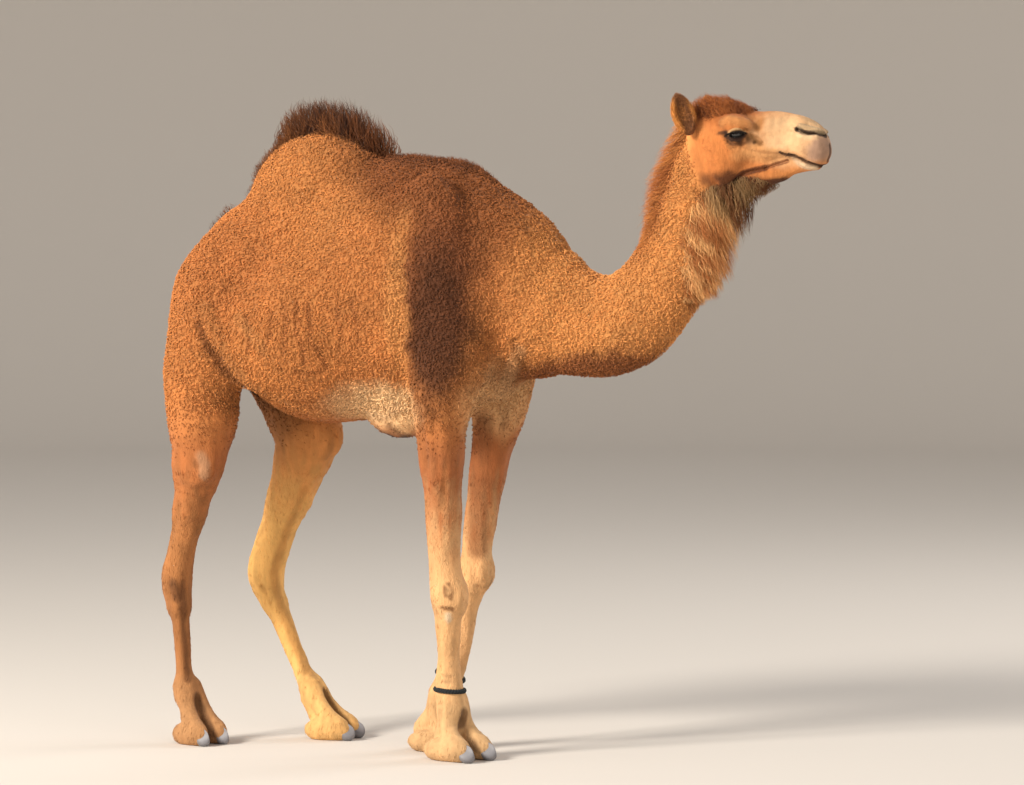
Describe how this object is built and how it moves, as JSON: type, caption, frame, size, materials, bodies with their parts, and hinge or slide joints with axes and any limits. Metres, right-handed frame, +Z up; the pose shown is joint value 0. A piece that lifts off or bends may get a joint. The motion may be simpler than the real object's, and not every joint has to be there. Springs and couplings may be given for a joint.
{
  "type": "dromedary camel",
  "caption": "Life-size dromedary standing with its head raised, in short curly wool with a dark hump tuft, shaggy beard and rope bands round its front pasterns; a still museum model.",
  "frame": {"origin": "On the floor, under the middle of the bounding box.", "axes": "+X points from the tail to the nose, +Y to the animal's left and +Z up."},
  "size_m": [2.257, 0.6282, 1.994],
  "materials": {
    "wool": "short curly wool",
    "neck_wool": "short curly wool",
    "face_hair": "short flat hair",
    "leg_hair": "short flat hair",
    "foot_hair": "short flat hair over soft pads",
    "dark_hair": "long coarse hair",
    "shag": "long shaggy hair",
    "eye": "wet and glossy",
    "nail": "weathered horn",
    "rope": "twisted cord"
  },
  "bodies": {
    "root": {"head": "face_hair", "lower_jaw": "face_hair", "ear_right": "face_hair", "ear_left": "face_hair", "eye_right": "eye", "eye_left": "eye", "neck_upper": "neck_wool", "neck_lower": "neck_wool", "hump": "wool", "trunk": "wool", "tail": "wool", "fore_right_upper": "leg_hair", "fore_right_lower": "leg_hair", "fore_right_foot": "foot_hair", "nail_fore_right_outer": "nail", "nail_fore_right_inner": "nail", "fore_left_upper": "leg_hair", "fore_left_lower": "leg_hair", "fore_left_foot": "foot_hair", "nail_fore_left_outer": "nail", "nail_fore_left_inner": "nail", "hind_right_upper": "leg_hair", "hind_right_lower": "leg_hair", "hind_right_foot": "foot_hair", "nail_hind_right_outer": "nail", "nail_hind_right_inner": "nail", "hind_left_upper": "leg_hair", "hind_left_lower": "leg_hair", "hind_left_foot": "foot_hair", "nail_hind_left_outer": "nail", "nail_hind_left_inner": "nail", "hobble_right": "rope", "hobble_left": "rope", "hump_tuft": "dark_hair", "tail_tuft": "dark_hair", "topknot": "shag", "nape_mane": "shag", "beard": "shag"}
  },
  "joints": []
}
